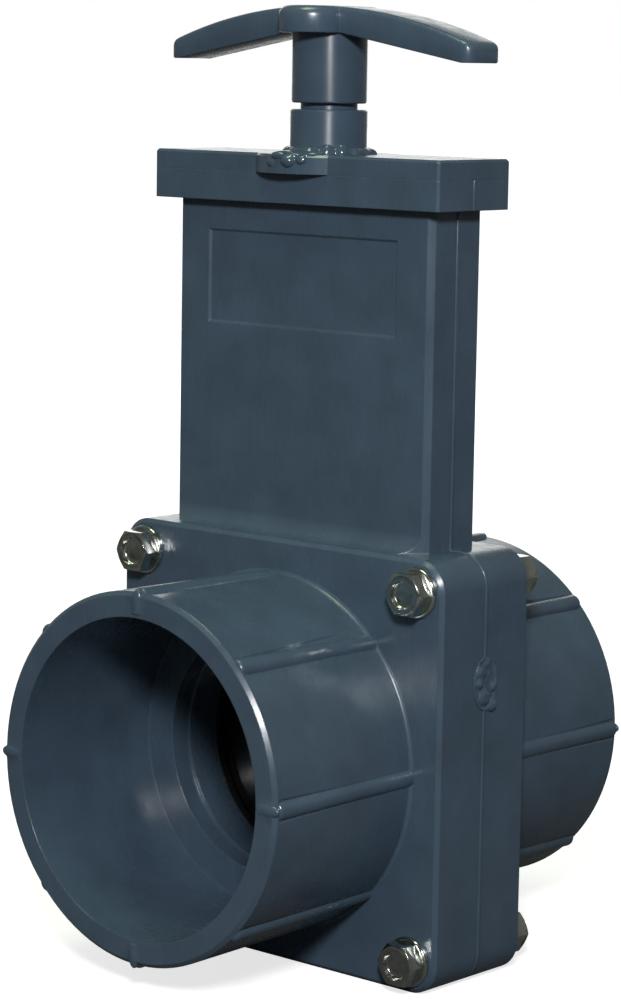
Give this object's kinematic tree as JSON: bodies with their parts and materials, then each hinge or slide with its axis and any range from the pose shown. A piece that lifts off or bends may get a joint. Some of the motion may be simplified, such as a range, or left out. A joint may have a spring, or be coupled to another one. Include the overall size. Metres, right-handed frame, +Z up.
{
  "type": "slide valve",
  "caption": "Grey PVC slide valve for pipe: square bolted block with two plain sockets, tall flat housing, and a T-handle that lifts a black gate plate.",
  "frame": {"origin": "middle of the block's flat bottom face, which is also the bottom centre of the whole part", "axes": "+Z up along the stem, Y along the pipe with the front socket at -Y, X across the housing"},
  "size_m": [0.0858, 0.107, 0.191],
  "materials": {
    "grey_pvc": "smooth moulded rigid PVC with a satin gloss",
    "black_plate": "polished black",
    "black_rubber": "matt",
    "stem_steel": "turned",
    "zinc_plate": "bright zinc plating"
  },
  "bodies": {
    "valve_body": {"body_front": "grey_pvc", "body_rear": "grey_pvc", "seal_front": "black_rubber", "seal_rear": "black_rubber", "lid": "grey_pvc", "gland_bushing": "grey_pvc", "stem_seal": "black_rubber", "bolt_upper_left": "zinc_plate", "front_washer_upper_left": "zinc_plate", "rear_washer_upper_left": "zinc_plate", "nut_upper_left": "zinc_plate", "bolt_upper_right": "zinc_plate", "front_washer_upper_right": "zinc_plate", "rear_washer_upper_right": "zinc_plate", "nut_upper_right": "zinc_plate", "bolt_lower_left": "zinc_plate", "front_washer_lower_left": "zinc_plate", "rear_washer_lower_left": "zinc_plate", "nut_lower_left": "zinc_plate", "bolt_lower_right": "zinc_plate", "front_washer_lower_right": "zinc_plate", "rear_washer_lower_right": "zinc_plate", "nut_lower_right": "zinc_plate"},
    "gate_and_handle": {"gate_plate": "black_plate", "stem": "stem_steel", "stem_cross_pin": "stem_steel", "handle": "grey_pvc"}
  },
  "joints": [
    {"name": "gate_slide", "type": "slide", "parent": "valve_body", "child": "gate_and_handle", "axis": [0, 0, 1], "range_m": [0, 0.055]}
  ]
}
